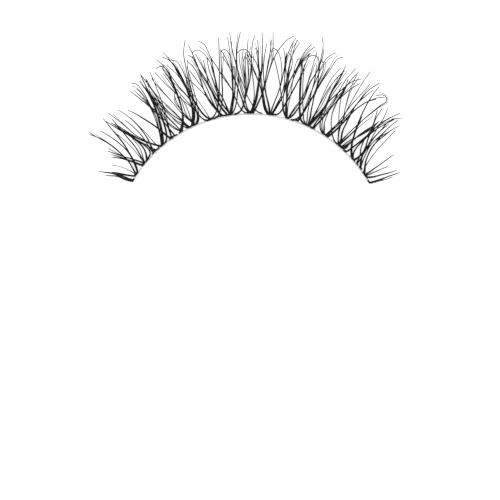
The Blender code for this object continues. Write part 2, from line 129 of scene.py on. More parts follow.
# One list for each cluster, one row for each fibre in it: how thick it is, 1 to 4, and the points that it
# passes from root to tip. A point is a distance along the band from its middle, + to the right, and a
# distance outside the band.
HAIRS = [
    [
        (4, (-142.6, 0.2), (-144, 4), (-144.9, 9), (-145.2, 13), (-146.2, 17), (-148, 21), (-149.8, 25.6)),
        (4, (-141.6, 0.2), (-143, 4), (-144, 8), (-144.4, 13), (-145, 18), (-146.3, 23), (-148, 28.5),
         (-149.4, 33.5)),
        (3, (-141.2, 0.6), (-142.3, 5), (-142.8, 10), (-143.8, 15), (-145.4, 20), (-146.8, 24.5),
         (-148.4, 29.5)),
    ],
    [
        (4, (-137.2, 1), (-139, 4.5), (-140.9, 9), (-142.6, 13.5), (-144.3, 18), (-145.9, 23),
         (-147.4, 27.5), (-149, 32)),
        (3, (-136.8, 0.8), (-138.6, 4.5), (-140.4, 9), (-141.8, 13.5), (-143.2, 18), (-144.8, 22)),
        (1, (-135, 1.5), (-135.1, 6), (-135.6, 11), (-136.6, 16), (-138, 21), (-139.6, 25.6)),
        (4, (-134.8, 1), (-131.4, 7.6), (-129, 13.5), (-127.8, 22), (-126.9, 31), (-127, 42),
         (-128.2, 53), (-128.8, 62.5)),
        (4, (-134.4, 1.4), (-131, 8.4), (-128.6, 15), (-127.4, 24), (-126.6, 33), (-126.9, 44),
         (-128.3, 54), (-129.8, 61)),
    ],
    [
        (4, (-132.3, 0.8), (-128.6, 5), (-125.6, 10.4), (-122.9, 18), (-120.3, 25.5), (-118.5, 35),
         (-116.9, 47), (-115.2, 60.5)),
        (4, (-131.8, 0.6), (-127.9, 5.4), (-125, 11), (-122.4, 18.5), (-119.8, 26.5), (-118, 36),
         (-117, 44), (-116.8, 49)),
        (4, (-132, 1), (-128.9, 5.4), (-125.9, 11), (-123.5, 16.5), (-122.1, 22), (-121.5, 31),
         (-121.7, 41), (-123, 54)),
    ],
    [
        (4, (-124.2, 0.8), (-125.2, 4), (-126.5, 9), (-128.2, 14), (-129.6, 19), (-131.4, 23.5),
         (-133.4, 28.5)),
        (4, (-123.6, 0.8), (-124.8, 4), (-126.2, 9.4), (-127.8, 14.5), (-129, 19.5), (-130.5, 24.5),
         (-132.6, 31.5)),
        (1, (-124.4, 1.2), (-126, 7), (-128.4, 15), (-130.4, 21), (-132.4, 25.5), (-134.8, 30)),
        (4, (-121, 1), (-122.4, 5), (-124.2, 9.8), (-125.6, 14), (-127.4, 18.8), (-128.9, 24),
         (-130.4, 30), (-132, 36.8)),
        (1, (-121.6, 1.2), (-123, 6), (-125, 11), (-126.8, 17), (-128.2, 23), (-129.2, 30), (-129.9, 38)),
        (1, (-120.4, 1.2), (-119.6, 6), (-118.6, 12), (-117.5, 18), (-117, 25), (-116.7, 32), (-117, 38),
         (-117.3, 44)),
        (4, (-120.2, 1), (-119, 5.4), (-117, 10.4), (-115.4, 16), (-114.2, 23), (-113.5, 31),
         (-112.3, 41), (-111.3, 53.5)),
        (1, (-119.6, 2), (-116.8, 6.4), (-114.2, 11), (-112.6, 15.5), (-111.8, 20), (-111.2, 27),
         (-110.8, 33)),
    ],
    [
        (4, (-117.2, 0.8), (-113.8, 4.4), (-111.2, 9), (-110.2, 15), (-110.4, 23), (-111.5, 31),
         (-113.1, 39), (-115.3, 56)),
        (3, (-116.4, 0.8), (-113.2, 4.8), (-110.7, 10), (-109.8, 17), (-110, 25), (-111, 33),
         (-112.4, 40), (-113.7, 52)),
        (4, (-115.6, 0.6), (-112.2, 1.6), (-109.5, 2.8), (-108.2, 5.6), (-108, 10), (-108.9, 17),
         (-110.4, 26), (-113, 41)),
    ],
    [
        (4, (-102.4, 1), (-104.6, 3), (-106.1, 7.6), (-107, 12.4), (-108.6, 18), (-109.8, 24), (-111, 30),
         (-113.2, 43)),
        (3, (-106, 1.2), (-105.2, 5.6), (-103.4, 10.6), (-102, 15.5), (-101, 23), (-100.6, 32),
         (-101.2, 43), (-103.5, 55.6)),
        (3, (-105.2, 1.2), (-104.6, 6), (-103, 10.8), (-101.6, 16), (-100.8, 24), (-100.3, 33),
         (-100.9, 42)),
        (3, (-107.2, 1.4), (-106.6, 7), (-105.4, 12), (-104.4, 17), (-103.8, 24), (-103.9, 32),
         (-104.9, 43.8)),
    ],
    [
        (3, (-97.4, 0.8), (-100.6, 5.2), (-103.4, 10.4), (-106, 16), (-108.2, 22.5), (-109.9, 28.5),
         (-111.4, 36), (-113.5, 51)),
        (3, (-96.6, 0.8), (-99.8, 5), (-102.8, 10.2), (-105.4, 15.8), (-107.6, 22.4), (-109.3, 29),
         (-110.5, 36), (-112.2, 48)),
        (2, (-97.8, 1), (-101.2, 6.4), (-104, 12.4), (-105.6, 19.5), (-107.6, 26.5), (-108, 36),
         (-108.8, 47), (-110.1, 60.5)),
        (1, (-99.4, 1.6), (-99.7, 7), (-99.8, 13), (-99.7, 19), (-99.9, 26), (-100.3, 33)),
        (2, (-96.4, 1), (-93, 6.6), (-90.3, 12), (-88, 18.5), (-86, 25.5), (-84, 34), (-82.9, 45),
         (-83.9, 60.6)),
        (3, (-95.6, 0.8), (-92.2, 6.4), (-89.6, 12.4), (-87, 19), (-84.3, 27), (-83, 38), (-81.7, 58),
         (-82.6, 65.5), (-84.7, 67.8)),
        (2, (-95.2, 0.8), (-91.6, 5.8), (-88.6, 11.6), (-86, 18), (-83.2, 26), (-80.8, 37), (-79.3, 50),
         (-79.6, 65)),
        (3, (-94.6, 0.8), (-91, 5), (-88, 10.8), (-85.4, 17), (-82.6, 25.5), (-80.3, 37), (-78.6, 50),
         (-76.6, 70)),
        (1, (-93.8, 0.8), (-90.4, 5), (-87.4, 10.6), (-84.8, 17), (-82, 26), (-79.8, 38), (-78, 53),
         (-76.8, 66)),
    ],
    [
        (3, (-91, 1), (-88.6, 2.4), (-86.4, 5.6), (-84.2, 10.4), (-82.6, 15.6), (-80.6, 24), (-79, 36),
         (-77.6, 58), (-76.8, 68)),
        (2, (-90.4, 1), (-88, 3), (-85.4, 6.8), (-83.3, 12), (-81.2, 19), (-79.2, 30), (-77.8, 43),
         (-77.9, 58)),
        (1, (-90, 0.8), (-87.4, 3.4), (-84.6, 7.6), (-82.6, 13), (-80.2, 21), (-78.2, 31), (-76.8, 42),
         (-76.6, 50)),
    ],
    [
        (4, (-85, 0.8), (-86.4, 5), (-87.6, 10), (-89, 16.5), (-91, 24), (-93.6, 33), (-96, 42),
         (-98.5, 49.3)),
        (4, (-84.4, 0.8), (-85.9, 4.6), (-87.1, 9.6), (-88.4, 15.6), (-90.1, 22), (-92.7, 31),
         (-94.8, 38.5)),
        (3, (-79.6, 0.8), (-80.2, 6), (-80.9, 12), (-81.3, 18.5), (-82.1, 27), (-83.4, 36), (-85.6, 47),
         (-88.7, 62.5)),
        (1, (-80, 1), (-80.5, 7), (-80.2, 11), (-79, 15.5), (-78.8, 21), (-78.2, 29), (-77, 38),
         (-76.6, 46)),
        (2, (-83.4, 1), (-81.6, 6), (-79.6, 12.5), (-77.6, 19), (-75.4, 27), (-73.7, 36), (-72, 49),
         (-70.3, 67.3)),
        (2, (-83.8, 1), (-82.2, 6.5), (-80.4, 13), (-78.2, 21), (-76.2, 30), (-75.2, 42), (-75.5, 56),
         (-76.5, 70)),
    ],
    [
        (2, (-72, 1), (-73, 6.4), (-74.3, 12), (-75.6, 18), (-76.5, 25), (-77.6, 33), (-78.6, 44),
         (-78.7, 57)),
        (2, (-72.6, 1), (-74.8, 6), (-76.8, 11), (-78.6, 16), (-80.4, 24), (-82, 33), (-83.4, 42),
         (-84, 50)),
        (1, (-72.6, 1.4), (-76, 6), (-77.9, 10.5), (-78.8, 14.5), (-79.8, 21), (-80.4, 28)),
        (1, (-71.8, 1.4), (-73.4, 8), (-75, 13), (-76.2, 19), (-77, 27), (-77.9, 38), (-77.7, 48)),
        (4, (-73.6, 1), (-70.4, 4.2), (-67.4, 7.8), (-64.8, 12.6), (-62.5, 18.5), (-60.9, 30), (-60, 45),
         (-61.9, 65)),
        (3, (-73, 1), (-69.8, 4.6), (-66.6, 8.8), (-64, 14), (-61.9, 21), (-60.3, 33), (-59.8, 50),
         (-59.6, 63), (-61.4, 67.6), (-63.8, 69.2), (-65.6, 67.4)),
        (3, (-72.2, 1.2), (-69, 4.4), (-65.8, 9.2), (-63.2, 15), (-61.4, 22), (-59.8, 33), (-59.2, 46),
         (-59.5, 58), (-61, 70), (-62.8, 75.6)),
        (2, (-71, 1), (-68, 4.8), (-64.8, 10), (-62.6, 16.6), (-61, 25), (-60.3, 36), (-61.2, 48),
         (-62.8, 60)),
    ],
    [
        (3, (-63, 1), (-65, 4.6), (-66.4, 9), (-68.6, 13.6), (-71.2, 18.4), (-73.2, 24.6), (-74.6, 34),
         (-75.4, 50), (-76.2, 66)),
        (2, (-62.6, 1.4), (-64.6, 5), (-66, 10), (-67.6, 16), (-69.6, 24), (-71.8, 32), (-73.8, 40),
         (-75.2, 54), (-74.8, 63)),
        (1, (-64.6, 1), (-67, 7), (-70.4, 11.4), (-72, 15.5), (-74, 22), (-75.8, 30), (-77, 39),
         (-77.9, 52)),
        (1, (-64, 1), (-65.2, 7), (-67, 12.6), (-68.8, 18), (-70.6, 24), (-72.6, 31)),
        (2, (-65.6, 1.2), (-68.8, 6), (-71.5, 11), (-73, 18), (-74.6, 26), (-75.6, 34), (-76.3, 43)),
    ],
    [
        (3, (-61, 1), (-58.6, 3.6), (-56.6, 8), (-54.6, 12.4), (-53.3, 18), (-52.3, 27), (-51.8, 42),
         (-53.2, 58), (-54.8, 69), (-56.7, 79)),
        (3, (-60.4, 1), (-58, 3.8), (-55.8, 8.4), (-54, 13), (-52.9, 19), (-52, 28), (-51.4, 43),
         (-52.7, 57), (-54.9, 69), (-58.8, 75.6)),
        (3, (-60, 1.2), (-57.6, 3.4), (-55.2, 7.4), (-53.4, 12), (-52.5, 18), (-51.6, 28), (-51.1, 41),
         (-52, 54), (-53.8, 66)),
        (2, (-59.2, 1), (-56.8, 3.4), (-54.2, 7.6), (-52.3, 12.6), (-51.2, 19), (-50.3, 28), (-49.2, 46),
         (-49.8, 60), (-51.4, 67), (-54.2, 69.2)),
        (3, (-56.2, 1), (-53.6, 3), (-51.6, 6.8), (-50.8, 11.5), (-50.1, 18), (-49.2, 28), (-48.2, 40),
         (-46.6, 56), (-44.6, 72), (-41.2, 83)),
        (3, (-55.2, 1), (-53, 3.6), (-51, 8), (-50.6, 13), (-49.6, 20), (-48.7, 29), (-47.7, 44),
         (-46.2, 60), (-45, 70)),
        (2, (-54.2, 1), (-52, 2.8), (-50.4, 6.6), (-49.2, 11), (-48.2, 17), (-47.2, 24), (-46.7, 33),
         (-46, 44), (-45.6, 57)),
        (2, (-58.6, 1.4), (-58.6, 6), (-60.4, 10), (-61.6, 14), (-62.7, 20), (-63.2, 28), (-62.4, 36)),
        (1, (-58.4, 1.4), (-59.4, 7), (-60.4, 13), (-60.1, 19), (-59.2, 26), (-58.3, 33)),
        (1, (-57.8, 1.6), (-58.2, 7), (-57.8, 13), (-57.4, 19), (-57.6, 25), (-58.6, 31)),
        (2, (-57.2, 1), (-59, 5), (-61.8, 11), (-64, 18), (-66.2, 29.5), (-68.9, 42), (-70.9, 54),
         (-71.5, 61)),
        (2, (-56.4, 1.2), (-58.4, 5.4), (-60.8, 11), (-62.6, 18), (-63.7, 24), (-64.5, 27), (-61.4, 38)),
    ],
    [
        (3, (-44.6, 0.5), (-47.4, 3), (-49.2, 6.2), (-50.2, 12), (-51.4, 20), (-53.2, 30), (-56.4, 41.5),
         (-58.3, 53), (-59.5, 63)),
        (2, (-45.4, 0.8), (-47.8, 3.6), (-49.4, 8), (-51, 14), (-53.2, 19), (-55, 25), (-57.4, 33),
         (-58.6, 40)),
        (2, (-46, 1), (-48.4, 4.4), (-50, 9.4), (-52.2, 15.6), (-55.2, 21.5), (-57.4, 26.5), (-59.4, 32),
         (-61.6, 39), (-64.6, 49.5), (-67.6, 65)),
    ],
    [
        (3, (-40.4, 0.4), (-43.6, 3.2), (-46, 7.6), (-47.6, 13), (-48.8, 19), (-50.4, 27), (-51.6, 36),
         (-53, 48), (-53.8, 60)),
        (2, (-39.8, 0.8), (-43, 3.6), (-45.4, 8), (-47, 13.4), (-48.2, 20), (-49.8, 28), (-50.6, 37),
         (-49, 47)),
        (1, (-40.6, 1.4), (-42.4, 8), (-44.2, 15), (-46.6, 24), (-49.2, 33), (-52.2, 43.5), (-54.8, 56),
         (-58.2, 66)),
        (3, (-41.2, 0.4), (-38, 0.9), (-34.6, 4), (-31.8, 8), (-29.4, 13.6), (-27.2, 20.5), (-26.2, 27),
         (-24.8, 36), (-22.6, 52), (-20.2, 78)),
        (2, (-41, 0.8), (-37.4, 1.6), (-34, 4.8), (-31, 9.4), (-28.8, 16), (-27.6, 25), (-27.4, 36),
         (-27.8, 45), (-27.4, 55), (-28, 61)),
        (2, (-40.6, 1), (-37, 2), (-33.6, 5.4), (-30.8, 10.4), (-29, 18), (-28.4, 28), (-28, 42),
         (-28.6, 54), (-30.6, 61.5), (-33, 68), (-36.4, 71.6), (-39.4, 68.4)),
    ],
    [
        (3, (-35.8, 0.2), (-32.4, 1.5), (-29.9, 5), (-27.7, 9.6), (-25.6, 15.5), (-24.2, 22), (-23.2, 32),
         (-22.2, 42), (-21, 54), (-20.1, 66)),
        (2, (-35.2, 0.4), (-31.8, 2), (-29.3, 5.8), (-27.1, 10.6), (-25.2, 16.5), (-23.8, 23),
         (-22.8, 33), (-21.6, 44), (-21.4, 50)),
        (3, (-28.6, 1.2), (-31, 4.4), (-33, 8.6), (-35.4, 13), (-37, 18.4), (-38.2, 24), (-38.8, 32),
         (-39.4, 43), (-41.2, 55), (-44.2, 62.6)),
        (2, (-27.6, 1), (-30.4, 3.8), (-32.4, 8), (-34.2, 13.6), (-36, 19), (-37.6, 25.4), (-39.2, 33),
         (-41.6, 41), (-44.8, 53)),
        (1, (-28, 1.4), (-31.2, 6), (-33.8, 11), (-36.2, 17.4), (-38.8, 24.6), (-42, 32.2), (-45.2, 39.4),
         (-48.6, 48)),
        (3, (-27, 1), (-29.6, 3.4), (-31.6, 7.6), (-33, 11.6), (-34.2, 17), (-35, 24), (-36.2, 33),
         (-37.8, 43), (-38.2, 56), (-40.2, 77.4)),
        (2, (-29.2, 1.4), (-30.6, 6), (-31, 11), (-31.7, 17), (-32.6, 25), (-33.6, 33), (-33.4, 46),
         (-33.2, 59)),
    ],
    [
        (3, (-23.6, 1.2), (-25.6, 4.4), (-27.7, 8.4), (-29.3, 13), (-31, 19), (-32.8, 26.6),
         (-34.8, 35.4), (-37.6, 47), (-40.2, 64.6), (-42.2, 67.4)),
        (3, (-22.8, 1.2), (-24.8, 4.6), (-27, 8.6), (-28.7, 13.6), (-30.3, 19.6), (-31.8, 26),
         (-33.8, 35), (-36.6, 47), (-38.9, 56), (-39.8, 65.6)),
        (3, (-20.6, 1.2), (-22.6, 5.6), (-25.2, 9.6), (-26.8, 14), (-28.6, 19.4), (-30.4, 25.4),
         (-31.8, 32), (-33.3, 42), (-35.4, 55), (-37.4, 66.4)),
        (2, (-20, 1), (-21.8, 5), (-24.4, 9.2), (-26, 14), (-27.6, 19.8), (-28.9, 27), (-29.8, 37),
         (-30.8, 49), (-30.5, 61)),
        (1, (-21, 2), (-22.4, 7), (-23.4, 12), (-24.8, 17.6), (-26.6, 23), (-28.6, 30), (-29.8, 40)),
        (1, (-20.6, 2.4), (-21.8, 8), (-23.2, 13.5), (-24.8, 19.8), (-27, 27), (-28.4, 34)),
        (3, (-20.2, 1), (-18.8, 7.6), (-17.2, 13), (-15.8, 18), (-15.1, 25), (-14.6, 36), (-14, 50),
         (-15, 62), (-17.4, 66.4), (-19.4, 66), (-20.4, 63)),
        (2, (-19.6, 1), (-18.3, 7.6), (-16.7, 13), (-15.2, 18.4), (-14.4, 26), (-13.8, 38), (-13.9, 54),
         (-14.6, 77)),
        (3, (-18.8, 1), (-16, 3.8), (-13.9, 8.4), (-12.4, 13.4), (-11.5, 20), (-10.2, 28), (-9.4, 36),
         (-9.9, 50), (-8.9, 66), (-6.2, 81.6)),
        (2, (-18.2, 1.2), (-15.6, 4.6), (-13.4, 9.6), (-12, 15), (-11, 22), (-10, 30), (-10.8, 41),
         (-10.2, 54)),
        (1, (-18.6, 2), (-17.4, 6.4), (-16.2, 12), (-14.6, 18.4), (-13.2, 26), (-12.4, 36), (-12.6, 48)),
        (1, (-18.4, 2.4), (-16.8, 7.2), (-15.4, 13), (-13.6, 20), (-12.5, 28), (-11.6, 38), (-11.9, 48)),
    ],
    [
        (3, (-14.2, 0.5), (-10.6, 1.9), (-8.2, 5.2), (-6.6, 10), (-4.8, 15.5), (-3, 22), (-1, 31),
         (0.5, 45), (0.7, 55), (-0.8, 60.6), (-2.6, 64.4), (-5, 65.2), (-7.2, 63.6), (-9, 60.8)),
        (3, (-13.6, 0.6), (-10, 2.2), (-7.6, 5.8), (-6, 10.6), (-4.2, 16.4), (-2.3, 24), (-0.5, 34),
         (0.4, 47), (0.6, 57), (-1.4, 61.6)),
        (2, (-14, 1), (-9.4, 2.8), (-7.2, 7), (-5.4, 12.4), (-3.8, 19), (-2.2, 29), (-1.6, 42),
         (-2.3, 58), (-1.4, 74.4)),
        (2, (-13.4, 1), (-9, 3.2), (-6.8, 8), (-5, 13.8), (-3.8, 21), (-3.4, 31), (-3.8, 45), (-3.4, 61)),
        (1, (-13.8, 1.2), (-9.2, 3.8), (-6.8, 9.4), (-5, 16), (-4.4, 24), (-4.8, 35), (-6.2, 53),
         (-4.8, 64)),
        (1, (-13.2, 1.2), (-8.8, 4), (-6, 10.6), (-4.4, 18), (-4.6, 28), (-6.4, 40), (-7.8, 52),
         (-7.9, 61)),
    ],
    [
        (3, (-4.6, 1.2), (-7.8, 2.8), (-9.6, 6), (-11.8, 11), (-13.6, 17.2), (-15.2, 24), (-18, 30.4),
         (-21.4, 38), (-24.6, 49.5), (-27.6, 59), (-29.2, 69), (-31, 76.4), (-33.8, 78)),
        (2, (-5.2, 1.4), (-8.2, 3.4), (-10.2, 7.2), (-12.3, 12.4), (-14.3, 19), (-15.9, 26),
         (-18.8, 33.6), (-21.6, 42)),
    ],
    [
        (3, (-1.3, 1.2), (-4, 3.6), (-6.2, 8), (-7.6, 14), (-9.4, 21), (-11.2, 28.6), (-13.3, 37),
         (-15.2, 46), (-17.5, 57), (-20.2, 65.6)),
        (1, (-0.9, 1.4), (-3.6, 4), (-5.6, 8.6), (-7, 14.4), (-8.9, 21), (-10.8, 29), (-13, 38),
         (-15.6, 47), (-19.8, 58.6)),
        (3, (-0.3, 1.4), (-2.8, 4.4), (-4, 8.6), (-4.8, 13), (-6.4, 18), (-8.4, 27), (-9.2, 36),
         (-10.4, 50), (-12.2, 62), (-13, 81)),
        (2, (0.4, 1.2), (-2.2, 4), (-3.6, 8), (-4.4, 13.4), (-5.6, 20), (-7.4, 29), (-8.7, 40),
         (-10.1, 47), (-12, 61), (-12.9, 73)),
        (3, (0, 1.2), (2, 5), (3.6, 10), (4.6, 16), (5.4, 22), (6.1, 29), (6.8, 39), (5.9, 52), (5.6, 62),
         (4.7, 73.4)),
        (3, (1, 1.2), (2.8, 5), (4.4, 10), (5.3, 16), (6, 23), (7, 32), (8.4, 42), (8.8, 54), (8.2, 66),
         (7.9, 81)),
        (2, (1.6, 1), (3.2, 4.6), (4.8, 9.4), (6, 15), (6.7, 21), (7.2, 29), (8.8, 40), (9.1, 50)),
        (3, (2.2, 1), (4.4, 4), (6.3, 9), (7.9, 13.8), (9.7, 18.4), (10.8, 25), (11.8, 32), (12.5, 42),
         (13, 53), (13.8, 64), (13.6, 74.6)),
        (3, (3, 1.2), (5.2, 5), (7.2, 11), (8.8, 15.6), (10.4, 21), (12, 28), (13.4, 37), (15.2, 49),
         (17.7, 60.6), (20.8, 70), (24.4, 78), (28.2, 82)),
        (2, (3.4, 1.4), (5.6, 5.6), (7.6, 11.6), (9.6, 17), (11.4, 24), (12.6, 32), (14.2, 43),
         (16, 54.5), (15.2, 68), (14.2, 82.6)),
        (2, (-0.6, 1), (1.2, 4), (2.6, 9), (3.4, 15), (3.2, 24), (2, 36), (0.9, 48), (1, 62), (1.6, 72),
         (3.1, 78.6)),
    ],
    [
        (2, (10.6, 1.2), (7.6, 1.7), (4.8, 4.2), (1.6, 9.4), (-1.4, 14.8), (-4, 21.6), (-5.6, 28.6),
         (-8, 36.4), (-9.9, 45), (-11.6, 58)),
        (3, (17, 1), (14.4, 3.8), (12.5, 8.4), (11.2, 14), (9.9, 20.6), (8.2, 27.6), (6.2, 33.6),
         (3.4, 42), (0.2, 51.6), (-2.6, 61)),
        (2, (17.6, 1), (15.2, 4), (13.2, 8.8), (12, 14.4), (10.5, 21), (8.8, 29), (7.7, 37), (5.8, 45.4),
         (3, 54), (0.6, 57.6)),
        (2, (18.4, 1.4), (16, 4.8), (14, 9.4), (12.8, 15), (11, 22), (9.6, 30), (8.4, 38), (6.4, 47),
         (5.8, 57), (4.4, 64), (2.8, 65.2)),
        (3, (19.2, 1.4), (17.8, 6.6), (16.2, 12), (14.2, 17.6), (12.8, 23), (11.5, 30), (10.3, 38),
         (9.8, 48), (10.1, 60), (10.8, 70)),
        (1, (19.8, 1.6), (18.8, 6), (17.2, 11.4), (15.2, 16.6), (13.6, 22), (12.9, 29)),
        (2, (19.8, 1), (20.6, 7), (21.8, 13), (23.2, 20), (24.5, 29), (24.5, 40), (22.8, 51), (20.2, 61),
         (17.8, 65.6), (15, 66.8)),
        (1, (20.2, 1.2), (21.2, 8), (22.6, 15), (24, 22), (25, 31), (25.2, 42), (24.9, 54), (23.4, 64),
         (22.2, 67.6)),
        (3, (20.8, 1), (22.8, 5.4), (24.2, 11), (26, 16.4), (27.2, 23), (27.6, 31), (26.4, 44),
         (25.5, 57), (27, 71), (28.9, 80)),
        (2, (21.6, 1.2), (23.4, 5.2), (24.8, 10.4), (26.8, 16), (28.6, 21), (29, 29), (28.4, 40),
         (28.5, 54), (29.6, 66), (31.9, 76.2)),
        (1, (22, 1.2), (24, 5.4), (25.8, 10.8), (27.8, 16.8), (29.2, 23), (29.6, 32), (29.1, 43),
         (28.9, 56), (29.2, 68), (30, 78)),
        (4, (23, 1.2), (26.2, 1.2), (28.8, 4), (30.8, 9.4), (32.4, 15), (34.2, 22), (35.9, 30),
         (37.3, 37.6), (38.8, 47), (39.4, 58), (40.2, 68)),
        (2, (23.6, 1), (26.8, 1.4), (29.4, 4.6), (31.4, 10), (33, 15.6), (34.8, 23), (36.5, 31),
         (37.8, 39), (39.2, 52), (39, 57)),
        (2, (23.2, 1.6), (27.2, 2.2), (29.6, 6), (31.2, 11), (32.4, 17), (32.9, 25), (33.4, 36),
         (34.2, 47), (36.6, 59), (40, 68.6)),
    ],
    [
        (3, (35.6, 1.4), (33, 4.2), (31, 8.6), (29.6, 13.4), (27.9, 18), (26.1, 24), (24.8, 29.4),
         (22.9, 36), (20.4, 45), (16.8, 57)),
        (1, (36.2, 1.4), (33.6, 4.2), (31.6, 8.8), (30.4, 14), (29, 21), (28.2, 30), (28.4, 41),
         (26.2, 49), (25, 57), (24.7, 64)),
        (1, (36.8, 1.6), (34.8, 6), (33.6, 11), (32.5, 17), (31.6, 23), (30.3, 30), (29.4, 39),
         (29.9, 47), (30.4, 53), (28.8, 61), (26.8, 63.4)),
        (1, (37, 1.4), (35.6, 6), (34.2, 11), (33, 17.6), (31.8, 25), (30.6, 33), (30, 43), (30.5, 51)),
        (3, (36.2, 1), (34.4, 4.8), (33.2, 10), (32.8, 15.4), (31.6, 21.4), (30.2, 28), (31.2, 37),
         (33, 45.6), (35, 54.6), (37.4, 64), (39.6, 71.4), (42.2, 76.2)),
        (1, (37, 2), (35.8, 7), (35, 13), (35, 20), (34.2, 30), (33.5, 40), (32.6, 52), (33.4, 60)),
        (3, (36.6, 1.2), (35, 5.4), (34, 10.6), (33.2, 16), (32, 22), (30.9, 29), (31.8, 38), (33.2, 46),
         (34.6, 54), (35.3, 61), (36.3, 67), (37.7, 72.6), (39.8, 77.2)),
        (4, (38.2, 1), (41, 3.8), (43, 8.6), (44.6, 13.8), (45.8, 20), (46.5, 28), (46.2, 35), (47, 43.4),
         (48.8, 52), (48.4, 61.6), (46.4, 67.6), (43.6, 69), (41.2, 68), (40.8, 65.8)),
        (3, (38.8, 1), (41.6, 4.2), (43.4, 9.2), (45, 14.6), (46.2, 21), (46.9, 29), (46.8, 38),
         (47.7, 47), (49.2, 55.6), (48.6, 62)),
        (2, (38.4, 1.6), (40.2, 6.4), (41.6, 11.2), (43.4, 16.6), (44.8, 22), (45.4, 30), (45.2, 42),
         (44.8, 56), (44.5, 72)),
        (1, (38.2, 2), (39.6, 7), (41, 12.4), (43, 18.4), (44.4, 25), (44.5, 29)),
    ],
    [
        (3, (43.4, 0.5), (46.2, 2.8), (48.6, 6.4), (49.9, 12), (51, 19), (52.2, 26), (53.1, 34),
         (52.6, 44), (52.8, 54), (51.6, 62.6), (48.8, 66.8)),
        (3, (44, 0.6), (46.8, 3.4), (49, 7.4), (50.3, 13.4), (51.4, 20), (52.6, 27.6), (53, 37),
         (51.8, 47), (49.6, 58), (47.9, 71), (46.9, 80.4), (44.4, 87.8)),
        (2, (44.2, 0.8), (47.2, 4), (49.4, 9), (50.6, 15), (50.9, 22), (50.6, 31), (50, 43), (48.7, 52),
         (49.4, 65), (48.2, 77)),
    ],
    [
        (2, (47.8, 2.4), (49.2, 6.4), (50.2, 11), (51.2, 16), (52, 22), (53, 30), (54.4, 41), (55.8, 52),
         (57.4, 63), (59.4, 75), (61.6, 77)),
        (2, (48.6, 1.4), (49.8, 6), (50.8, 11.4), (51.6, 17), (52.6, 24), (53.4, 33), (53.8, 43),
         (54.8, 53), (56, 62)),
        (1, (48.4, 1.8), (49.4, 7), (49.8, 13), (50, 20), (49.8, 28), (50.4, 38), (50.4, 50), (50.9, 63),
         (52.4, 71.6), (56, 78)),
    ],
    [
        (4, (54.6, 1.2), (51.4, 2), (48.6, 5.4), (46.9, 9.8), (45, 14.2), (43.6, 20), (41.7, 27),
         (40.1, 34.6), (38.7, 43), (37, 54), (35.8, 60.6), (34.2, 61.8), (33, 58)),
        (3, (55.4, 1.2), (52.2, 2.2), (49.4, 5.6), (47.7, 10), (45.7, 14.6), (44.2, 20.6), (42.4, 28),
         (40.8, 35.4), (39.3, 44), (38.2, 53), (36.2, 60)),
        (2, (56, 1.8), (53, 4.6), (51, 9), (49, 14), (46.9, 19.4), (44.9, 26), (43.2, 32.4), (41.4, 40),
         (39.8, 50), (38.8, 55.6)),
        (2, (57.4, 1.6), (55.6, 7.6), (54, 12.4), (53.1, 18), (51.8, 25), (50.5, 33), (49.6, 44),
         (48.2, 53), (47.2, 60)),
        (2, (58.8, 1.8), (57.4, 10), (56, 16), (54.8, 23), (53.4, 31), (52.8, 40), (51.4, 48.6),
         (49.3, 57.4)),
        (1, (59, 2.4), (58.4, 9), (56.8, 15), (55.4, 22), (54.2, 29), (54, 37)),
        (4, (59, 1.4), (60.8, 6.6), (62.2, 11.4), (63.6, 17), (65, 23.4), (65.9, 29), (67.4, 35),
         (69.2, 42), (71.8, 51), (74.4, 60), (76.4, 64), (79, 66.4)),
        (3, (59.6, 1.2), (61.4, 6.8), (63, 12), (64.2, 18), (65.3, 25), (65.3, 33), (65, 43), (65.5, 55),
         (65.4, 70.8)),
        (2, (60.2, 1), (60.6, 9), (61.2, 16), (60.8, 22), (61.2, 30), (61.4, 38), (62.3, 46), (64, 57),
         (66.4, 66)),
        (1, (60.4, 1.4), (60.2, 10), (61.8, 17), (62.6, 23), (62.8, 31), (62.6, 39), (63, 45)),
        (1, (60, 1.6), (59.8, 9), (60.4, 16), (60.6, 24), (60.2, 33), (60.1, 44), (60.9, 56), (62.4, 63),
         (63.2, 66.6)),
        (2, (60.8, 1), (62.2, 5.6), (63.8, 11), (65, 17), (65.8, 25), (65.2, 34)),
    ],
    [
        (3, (64.8, 0.6), (66.2, 5.2), (67.8, 10.4), (69, 16), (70, 22), (70.9, 29.4), (72.4, 37),
         (74, 44), (76.1, 52.4), (79.6, 62.4)),
        (2, (65.4, 0.6), (66.8, 5.6), (68.2, 11), (69.4, 17), (70.4, 24), (71.5, 32), (72, 41),
         (72.6, 51), (73, 60), (74.8, 71.4)),
        (2, (64.4, 1.4), (65.2, 8), (66.6, 15), (67.8, 22), (68.8, 29), (69.4, 37), (69.6, 47),
         (69.8, 57), (72, 72.6)),
        (2, (64.2, 1), (64.9, 8), (65.6, 15), (66.2, 22), (65.9, 30), (66.6, 40), (67.6, 50), (68.2, 55)),
        (2, (66, 1), (67, 8), (68.2, 15), (69, 22), (70.2, 31), (70.8, 40), (72.2, 48), (71.2, 60)),
    ],
    [
        (3, (75.2, 1.2), (72, 2.8), (69.6, 6.6), (67.8, 11.6), (66.4, 17), (65.6, 24), (65.2, 32),
         (65, 42), (65.8, 52), (66, 63)),
        (2, (76.2, 1.4), (73.2, 4), (70.8, 8.4), (69.2, 13.4), (67.6, 19), (66.6, 27), (66, 36)),
        (2, (76.8, 1.6), (74.2, 6), (72.4, 10), (71.3, 15.4), (70.5, 22), (70, 30), (70.2, 38),
         (69.6, 47), (70, 58)),
        (1, (77, 2), (75, 6), (72.8, 9.4), (71.6, 14), (70.8, 20), (69.6, 27)),
    ],
    [
        (3, (79.4, 1.4), (80.4, 6.6), (81.4, 11.6), (82.9, 17.4), (84.2, 23), (85.2, 29), (86.2, 38),
